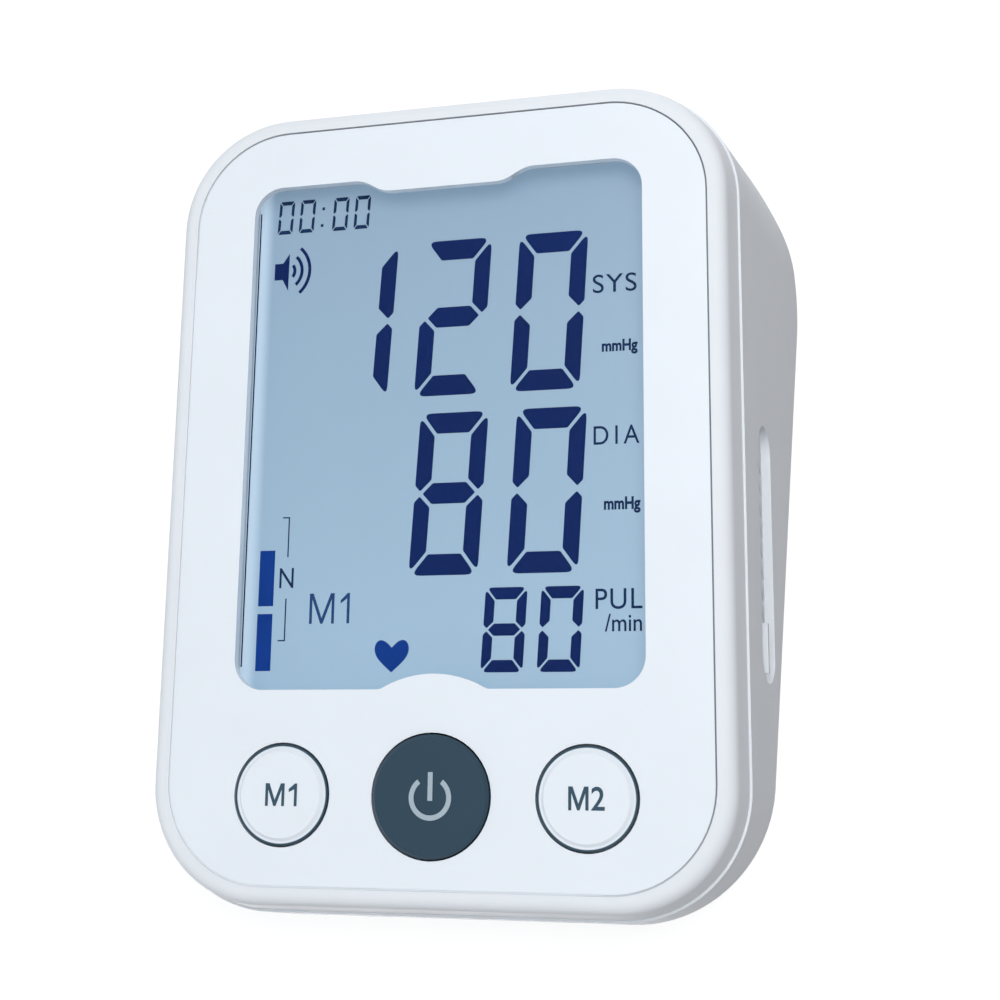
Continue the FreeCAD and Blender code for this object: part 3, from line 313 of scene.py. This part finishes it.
SEGMENT_INK = ink("segment_ink", srgb(0, 31, 88), 0.6, 1500, 0.05, 0.10)
BAR_INK = ink("bar_ink", srgb(4, 56, 136), 0.6, 1500, 0.05, 0.10)
STORE_INK = ink("store_ink", srgb(36, 70, 118), 0.6, 1500, 0.05, 0.08)
LABEL_INK = ink("label_ink", srgb(14, 42, 80), 0.6, 1500, 0.05, 0.08)
KEY_INK = ink("key_ink", srgb(60, 84, 100), 0.5, 1800, 0.1, 0.06)
SYMBOL_INK = ink("symbol_ink", srgb(165, 180, 190), 0.5, 1800, 0.1, 0.04)

for entry in frame["record"]["subparts"]:
    cad_mesh = frame["nodes"][entry["node"]].data
    cad_mesh.materials.clear()
    finish = RING_PRINT if entry["node"].endswith("_ring") else FINISHES[entry["material_slot"]]
    cad_mesh.materials.append(finish)


# Pieces of the scene

def place_piece(name, mesh, body, finish):
    """Give a mesh its finish and set it in the scene, where it rides on a body."""
    mesh.materials.clear()
    mesh.materials.append(finish)
    piece = bpy.data.objects.new(name, mesh)
    bpy.context.scene.collection.objects.link(piece)
    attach(piece, body)


def panel_outline(grow, steps=24):
    """The panel outline grown outwards: four quarter circles, joined by straight sides."""
    turn = np.radians(np.arange(4)[:, None] * 90 + np.linspace(0, 90, steps))
    centres = (PANEL_HALF - PANEL_CORNER) * [[1, 1], [-1, 1], [-1, -1], [1, -1]]
    arcs = np.stack([np.cos(turn), np.sin(turn)], axis=2) * (PANEL_CORNER + grow)
    return (centres[:, None] + arcs).reshape(-1, 2)


def make_panel_seal():
    """Bead in the gap round the panel, whose colour paints light and shade into the gap: a rectangle of four
    rings of points, swept along the outline.
    """
    inner, outer = panel_outline(SEAL_EASE), panel_outline(PANEL_GAP - SEAL_EASE)
    count = len(inner)
    corners = ((inner, SEAL_HIGH), (inner, SEAL_LOW), (outer, SEAL_LOW), (outer, SEAL_HIGH))
    rings = np.concatenate([np.column_stack([loop, np.full(count, level)]) for loop, level in corners])
    first = np.arange(4 * count).reshape(4, count)
    after = np.roll(first, -1, 1)
    faces = np.stack([first, after, np.roll(after, -1, 0), np.roll(first, -1, 0)], axis=2).reshape(-1, 4)
    mesh = bpy.data.meshes.new("panel_seal")
    mesh.from_pydata(standing(rings).tolist(), [], faces.tolist())
    place_piece("panel_seal", mesh, "housing", seal_light_and_shade_finish())


def sign(name, outlines, level, body, slot, finish):
    """A thin layer of ink: each outline of (x, w) points is carried from just under to just above a level."""
    vertices, faces = [], []
    start = 0
    for outline in outlines:
        ring = np.asarray(outline, dtype=float)
        count = len(ring)
        after = np.roll(ring, -1, 0)
        area = (ring[:, 0] * after[:, 1] - ring[:, 1] * after[:, 0]).sum() / 2
        ring = ring if area > 0 else ring[::-1]
        low = np.column_stack([ring, np.full(count, level - INK)])
        high = np.column_stack([ring, np.full(count, level + INK)])
        vertices += [low, high]
        first = np.arange(count) + start
        second = np.roll(first, -1)
        faces.append(tuple((first + count).tolist()))
        faces.append(tuple(first[::-1].tolist()))
        faces += np.column_stack([first, second, second + count, first + count]).tolist()
        start += 2 * count
    mesh = bpy.data.meshes.new(name)
    mesh.from_pydata(standing(np.concatenate(vertices)).tolist(), [], faces)
    place_piece(name, mesh, body, finish)


def lettering(name, text, box, level, body, slot, finish, spacing=1.0, weight=0.006):
    """Plain lettering, made bolder by a bevel and fitted into a box of left, low, right and high."""
    left, low, right, high = box
    curve = bpy.data.curves.new(name, "FONT")
    curve.body = text
    curve.extrude = GLYPH_DEPTH
    curve.bevel_depth = weight
    curve.bevel_resolution = 0
    curve.space_character = spacing
    source = bpy.data.objects.new(name + "_source", curve)
    bpy.context.scene.collection.objects.link(source)
    shape = bpy.context.evaluated_depsgraph_get()
    mesh = bpy.data.meshes.new_from_object(source.evaluated_get(shape))
    bpy.data.objects.remove(source)
    flat = np.empty(len(mesh.vertices) * 3)
    mesh.vertices.foreach_get("co", flat)
    glyphs = flat.reshape(-1, 3)
    least, most = glyphs.min(0), glyphs.max(0)
    share = (glyphs - least) / (most - least)
    box_low = np.array([left, low, level - INK])
    box_high = np.array([right, high, level + INK])
    mesh.vertices.foreach_set("co", standing(box_low + share * (box_high - box_low)).ravel())
    mesh.update()
    mesh.name = name
    place_piece(name, mesh, body, finish)


# Outlines of signs

def bar(left, low, right, high):
    """A rectangle."""
    return [(left, low), (right, low), (right, high), (left, high)]


def arc_band(centre, radius, width, start, end, steps=40):
    """A band along a circle: the outer arc one way and the inner arc back."""
    angle = np.radians(np.linspace(start, end, steps))
    circle = np.column_stack([np.cos(angle), np.sin(angle)])
    outer = centre + circle * (radius + width / 2)
    inner = centre + circle * (radius - width / 2)
    return np.concatenate([outer, inner[::-1]])


def eased(corners, ease):
    """A polygon with each corner drawn as a short parabola that starts and ends on the corner's sides."""
    corners = np.asarray(corners, dtype=float)
    ease = np.broadcast_to(ease, len(corners))[:, None]
    before = np.roll(corners, 1, 0) - corners
    after = np.roll(corners, -1, 0) - corners
    start = corners + before / np.linalg.norm(before, axis=1, keepdims=True) * ease
    end = corners + after / np.linalg.norm(after, axis=1, keepdims=True) * ease
    step = np.linspace(0, 1, 5)[None, :, None]
    sides = (1 - step) ** 2 * start[:, None] + step ** 2 * end[:, None]
    curve = sides + 2 * step * (1 - step) * corners[:, None]
    return curve.reshape(-1, 2)


def segment_outlines(wide, high, side, cap, gap):
    """The seven segments of an upright digit: mitred at the outer corners, pointed at the waist."""
    mitre = np.hypot(side, cap)
    along = gap / 2 * mitre / cap
    down = gap / 2 * mitre / side
    half = high / 2
    waist = cap / 2
    tip = half + 0.75 * gap
    nib = 0.33 * side
    slope = 0.36 * side
    shoulder = side + gap / 2
    point = 0.4 * side + gap / 2
    soft = 0.6 * side
    crisp = 0.09 * side
    top = [(along, high), (wide - along, high), (wide - side - along, high - cap), (side + along, high - cap)]
    left = [(0, high - down), (side, high - cap - down), (side, half + waist + gap), (nib, tip),
            (0, tip + slope)]
    middle = [(point, half), (shoulder, half + waist), (wide - shoulder, half + waist),
              (wide - point, half), (wide - shoulder, half - waist), (shoulder, half - waist)]
    shapes = {
        "a": eased(top, (soft, soft, crisp, crisp)),
        "f": eased(left, (soft, crisp, crisp, crisp, crisp)),
        "g": eased(middle, crisp),
    }
    shapes["d"] = shapes["a"] * [1, -1] + [0, high]
    shapes["e"] = shapes["f"] * [1, -1] + [0, high]
    shapes["b"] = shapes["f"] * [-1, 1] + [wide, 0]
    shapes["c"] = shapes["e"] * [-1, 1] + [wide, 0]
    return shapes


def digits(text, left, low, pitch, wide, high, side, cap, gap):
    """A row of leaning digits: each lit segment shifted to its place and sheared by the slant."""
    shapes = segment_outlines(wide, high, side, cap, gap)
    outlines = []
    for place, digit in enumerate(text):
        for letter in SEGMENTS[digit]:
            points = shapes[letter].copy()
            points[:, 0] += left + place * pitch + SLANT * points[:, 1]
            outlines.append(points + [0, low])
    return outlines


def figure_one(left, low, wide, high, stroke):
    """The figure 1 with its flag."""
    right = left + wide
    top = low + high
    flag = top - 0.24 * high
    return [(right - stroke, low), (right, low), (right, top), (right - 0.8 * stroke, top),
            (left, flag), (left, flag - 1.1 * stroke), (right - stroke, top - 1.9 * stroke)]


def letter_m(left, low, wide, high, stroke):
    """The letter M with upright legs and its point on the base line."""
    right = left + wide
    top = low + high
    middle = left + wide / 2
    flank = 1.4 * stroke
    point = 0.4 * stroke
    rise = 2 * stroke
    return [(left, low), (left + stroke, low), (left + stroke, top - rise), (middle - point, low),
            (middle + point, low), (right - stroke, top - rise), (right - stroke, low), (right, low),
            (right, top), (right - flank, top), (middle, low + rise), (left + flank, top), (left, top)]


def heart(centre, wide, high, steps=64):
    """A rounded heart: a power of the sine across and four cosines up, scaled to its box."""
    turn = np.linspace(0, 2 * pi, steps, endpoint=False)
    across = np.sign(np.sin(turn)) * np.abs(np.sin(turn)) ** 1.9
    up = 13 * np.cos(turn) - 5 * np.cos(2 * turn) - 2 * np.cos(3 * turn) - np.cos(4 * turn)
    curve = np.column_stack([across, up])
    least, most = curve.min(0), curve.max(0)
    return centre + ((curve - least) / (most - least) - 0.5) * [wide, high]


# Signs on the display and the keys

def make_display_signs():
    """Readings, clock, unit labels and pictograms on the display glass, and a line of painted shade along its
    left edge.
    """
    display = (LCD_FRONT + INK, "housing", "display_ground")
    big = dict(pitch=17.95, wide=12.7, high=29.2, side=2.95, cap=3.75, gap=0.62)
    rows = digits("120", -24.05, 17.1, **big)
    rows += digits("80", -6.35, -15.35, **big)
    rows += digits("80", 7.1, -32.3, pitch=10.0, wide=7.5, high=14.6, side=1.75, cap=2.1, gap=0.34)
    sign("reading_digits", rows, *display, SEGMENT_INK)

    small = dict(pitch=4.3, wide=3.0, high=6.5, side=0.52, cap=0.72, gap=0.2)
    clock = digits("00", -34.1, 50.1, **small) + digits("00", -23.1, 50.0, **small)
    clock += [bar(-25.15, 54.3, -24.65, 54.85), bar(-25.35, 51.0, -24.85, 51.55)]
    sign("clock_digits", clock, *display, LABEL_INK)

    cone = [(-34.3, 41.1), (-32.65, 41.1), (-31.5, 38.95), (-31.4, 46.15), (-32.65, 44.3), (-34.3, 44.3)]
    waves = [arc_band(np.array([start, 42.7]), radius, 0.6, -spread, spread)
             for start, radius, spread in ((-32.0, 1.75, 40), (-32.5, 3.7, 47), (-33.1, 5.85, 48))]
    sign("sound_sign", [cone] + waves, *display, SEGMENT_INK)
    sign("pulse_sign", [heart(np.array([-9.1, -29.35]), 6.3, 5.6)], *display, BAR_INK)

    bars = [bar(-34.75, -20.2, -31.85, -10.15), bar(-34.8, -31.75, -31.9, -21.6)]
    sign("level_bars", bars, *display, BAR_INK)
    # Painted shade: a thin dark line along the left edge of the display, in the shadow gap at the frame's
    # inner edge.
    sign("display_edge_shade", [bar(-37.65, -31.0, -37.4, 54.5)], *display, LABEL_INK)
    line = 0.22
    bracket = [bar(-30.6, -4.1 - line, -29.25, -4.1), bar(-29.25 - line, -11.4, -29.25, -4.1),
               bar(-29.3 - line, -26.5, -29.3, -18.9), bar(-30.7, -26.5, -29.3, -26.5 + line)]
    sign("level_bracket", bracket, *display, LABEL_INK)

    for name, text, box, spacing in (
            ("label_upper", "SYS", (27.0, 34.3, 34.9, 37.7), 1.1),
            ("label_lower", "DIA", (27.1, 6.8, 35.2, 10.1), 1.35),
            ("label_pulse", "PUL", (27.4, -21.8, 35.5, -18.3), 1.1)):
        lettering(name, text, box, *display, LABEL_INK, spacing, weight=0.0)
    for name, box in (("unit_upper", (28.6, 22.8, 35.0, 25.6)), ("unit_lower", (28.9, -5.4, 35.3, -2.5))):
        lettering(name, "mmHg", box, *display, LABEL_INK, weight=0.035)
    lettering("unit_pulse", "/min", (29.0, -25.6, 35.4, -22.6), *display, LABEL_INK)
    lettering("normal_mark", "N", (-30.8, -17.0, -28.1, -13.4), *display, LABEL_INK, weight=0.0)
    store = [letter_m(-24.8, -23.5, 4.7, 5.4, 0.5), figure_one(-18.9, -23.5, 1.7, 5.4, 0.5)]
    sign("store_mark", store, *display, STORE_INK)


def make_key_marks():
    """The power sign and the two memory marks on the fronts of the keys."""
    level = KEY_FRONT + INK
    ring = arc_band(np.array([0.1, KEY_LINE - 0.2]), 3.3, 0.85, 127, 413, 80)
    stroke = bar(-0.32, KEY_LINE - 0.7, 0.52, KEY_LINE + 4.0)
    sign("power_sign", [ring, stroke], level, "power_key", "key_slate", SYMBOL_INK)

    low, tall = KEY_LINE - 1.9, 3.8
    left, right = 0.3 - KEY_PITCH, KEY_PITCH
    key_1 = (level, "memory_key_1", "panel_white", KEY_INK)
    key_2 = (level, "memory_key_2", "panel_white", KEY_INK)
    mark_1 = [letter_m(left - 3.0, low, 3.5, tall, 0.5), figure_one(left + 1.3, low, 1.5, tall, 0.5)]
    sign("memory_mark_1", mark_1, *key_1)
    sign("memory_mark_2", [letter_m(right - 3.05, low, 3.4, tall, 0.52)], *key_2)
    lettering("memory_number_2", "2", (right + 0.8, low, right + 3.05, low + tall), *key_2, weight=0.012)


make_panel_seal()
make_display_signs()
make_key_marks()


# Stage, light and camera

# The table top: half its width, the share of its own glow where it shows, and how that glow grows outwards.
FLOOR_REACH = 3.0
FLOOR_GLOW = 0.7
FLOOR_AWAY = (0.12, 0.5)
FLOOR_STRENGTH = (1.16, 1.45)

# The surroundings as a light: strength from the horizon to overhead.
SKY_COLOUR = (0.92, 0.96, 1.0, 1)
SKY_HEIGHT = (-0.1, 0.8)
SKY_STRENGTH = (0.085, 0.6)

# Where the lamps point.
TARGET = (0.0, 0.0, 0.035)

# Soft boxes: place, size, power and colour.
LAMPS = {
    "soft_top": ((0.20, 0.0, 0.64), 0.42, 2.3, (1.0, 0.99, 0.98)),
    "soft_left": ((-0.8, -0.2, 0.18), 0.5, 1.5, (0.95, 0.98, 1.0)),
    "soft_front": ((0.03, -0.8, 0.08), 0.5, 1.7, (0.97, 0.99, 1.0)),
    "soft_back": ((0.05, 0.85, 0.1), 0.5, 1.4, (0.97, 0.99, 1.0)),
    "soft_under": ((-0.36, 0.05, -0.6), 0.6, 5.0, (0.98, 0.99, 1.0)),
}


def background_rays(tree):
    """Two factors: 1 for rays that show the background, seen, mirrored or through; 1 for shadow rays."""
    path = add_node(tree, "ShaderNodeLightPath")
    through = [path["Is Glossy Ray"], path["Is Transmission Ray"]]
    indirect = add_node(tree, "ShaderNodeMath", through, operation="MAXIMUM")["Value"]
    shown = add_node(tree, "ShaderNodeMath", [path["Is Camera Ray"], indirect], operation="MAXIMUM")["Value"]
    return shown, path["Is Shadow Ray"]


def make_floor():
    """A wide table top: white where it shows, duller to bounced light, clear from below."""
    corners = FLOOR_REACH * np.array([(-1, -1, 0), (1, -1, 0), (1, 1, 0), (-1, 1, 0)])
    mesh = bpy.data.meshes.new("table_top")
    mesh.from_pydata(corners.tolist(), [], [(0, 1, 2, 3)])
    floor = bpy.data.objects.new("table_top", mesh)
    bpy.context.scene.collection.objects.link(floor)

    material = bare_material("table_white")
    tree = material.node_tree
    place = add_node(tree, "ShaderNodeTexCoord")["Object"]
    away = add_node(tree, "ShaderNodeVectorMath", [place], operation="LENGTH")["Value"]
    paler = [away, *FLOOR_AWAY, *FLOOR_STRENGTH]
    strength = add_node(tree, "ShaderNodeMapRange", paler, interpolation_type="SMOOTHSTEP")["Result"]
    glow = add_node(tree, "ShaderNodeEmission", {"Strength": strength})["Emission"]
    white = add_node(tree, "ShaderNodeBsdfDiffuse", {"Color": srgb(240, 240, 240)})["BSDF"]
    pale = add_node(tree, "ShaderNodeMixShader", [FLOOR_GLOW, white, glow])["Shader"]
    bounce = add_node(tree, "ShaderNodeBsdfDiffuse", {"Color": srgb(102, 93, 91)})["BSDF"]
    shown, shadow = background_rays(tree)
    top = add_node(tree, "ShaderNodeMixShader", [shown, bounce, pale])["Shader"]
    below = add_node(tree, "ShaderNodeNewGeometry")["Backfacing"]
    unseen = add_node(tree, "ShaderNodeMath", [below, shadow], operation="MAXIMUM")["Value"]
    clear = add_node(tree, "ShaderNodeBsdfTransparent")["BSDF"]
    sided = add_node(tree, "ShaderNodeMixShader", [unseen, top, clear])["Shader"]
    tree.links.new(sided, tree.nodes["Material Output"].inputs["Surface"])
    mesh.materials.append(material)


def make_world():
    """Pale surroundings: white where they show, and as a light brighter overhead than at the horizon."""
    world = bpy.data.worlds.new("studio")
    bpy.context.scene.world = world
    world.use_nodes = True
    tree = world.node_tree
    direction = add_node(tree, "ShaderNodeTexCoord")["Generated"]
    up = add_node(tree, "ShaderNodeSeparateXYZ", [direction])["Z"]
    strength = add_node(tree, "ShaderNodeMapRange", [up, *SKY_HEIGHT, *SKY_STRENGTH])["Result"]
    light = tree.nodes["Background"]
    light.inputs["Color"].default_value = SKY_COLOUR
    tree.links.new(strength, light.inputs["Strength"])
    white = add_node(tree, "ShaderNodeBackground", {"Color": (1, 1, 1, 1)})["Background"]
    shown = background_rays(tree)[0]
    mix = add_node(tree, "ShaderNodeMixShader", [shown, light.outputs["Background"], white])["Shader"]
    tree.links.new(mix, tree.nodes["World Output"].inputs["Surface"])


def make_lamp(name, place, size, power, colour):
    """A square soft box that faces the part."""
    light = bpy.data.lights.new(name, "AREA")
    light.shape = "SQUARE"
    light.size = size
    light.energy = power
    light.color = colour
    lamp = bpy.data.objects.new(name, light)
    lamp.location = place
    lamp.rotation_euler = (Vector(TARGET) - Vector(place)).to_track_quat("-Z", "Y").to_euler()
    bpy.context.scene.collection.objects.link(lamp)


def make_camera():
    """The photograph's viewpoint, above the user's right hand, with the small shift its framing needs."""
    lens = bpy.data.cameras.new("viewpoint")
    lens.sensor_width = 36.0
    lens.lens = 56.82
    lens.shift_x = -0.0237
    lens.shift_y = -0.0731
    lens.clip_start = 0.01
    camera = bpy.data.objects.new("viewpoint", lens)
    camera.location = (0.083864, -0.133826, 0.271793)
    camera.rotation_euler = (radians(32.259), radians(13.656), radians(5.384))
    bpy.context.scene.collection.objects.link(camera)
    bpy.context.scene.camera = camera


make_floor()
make_world()
for lamp_name, lamp_look in LAMPS.items():
    make_lamp(lamp_name, *lamp_look)
make_camera()
bpy.context.scene.view_settings.view_transform = "Standard"
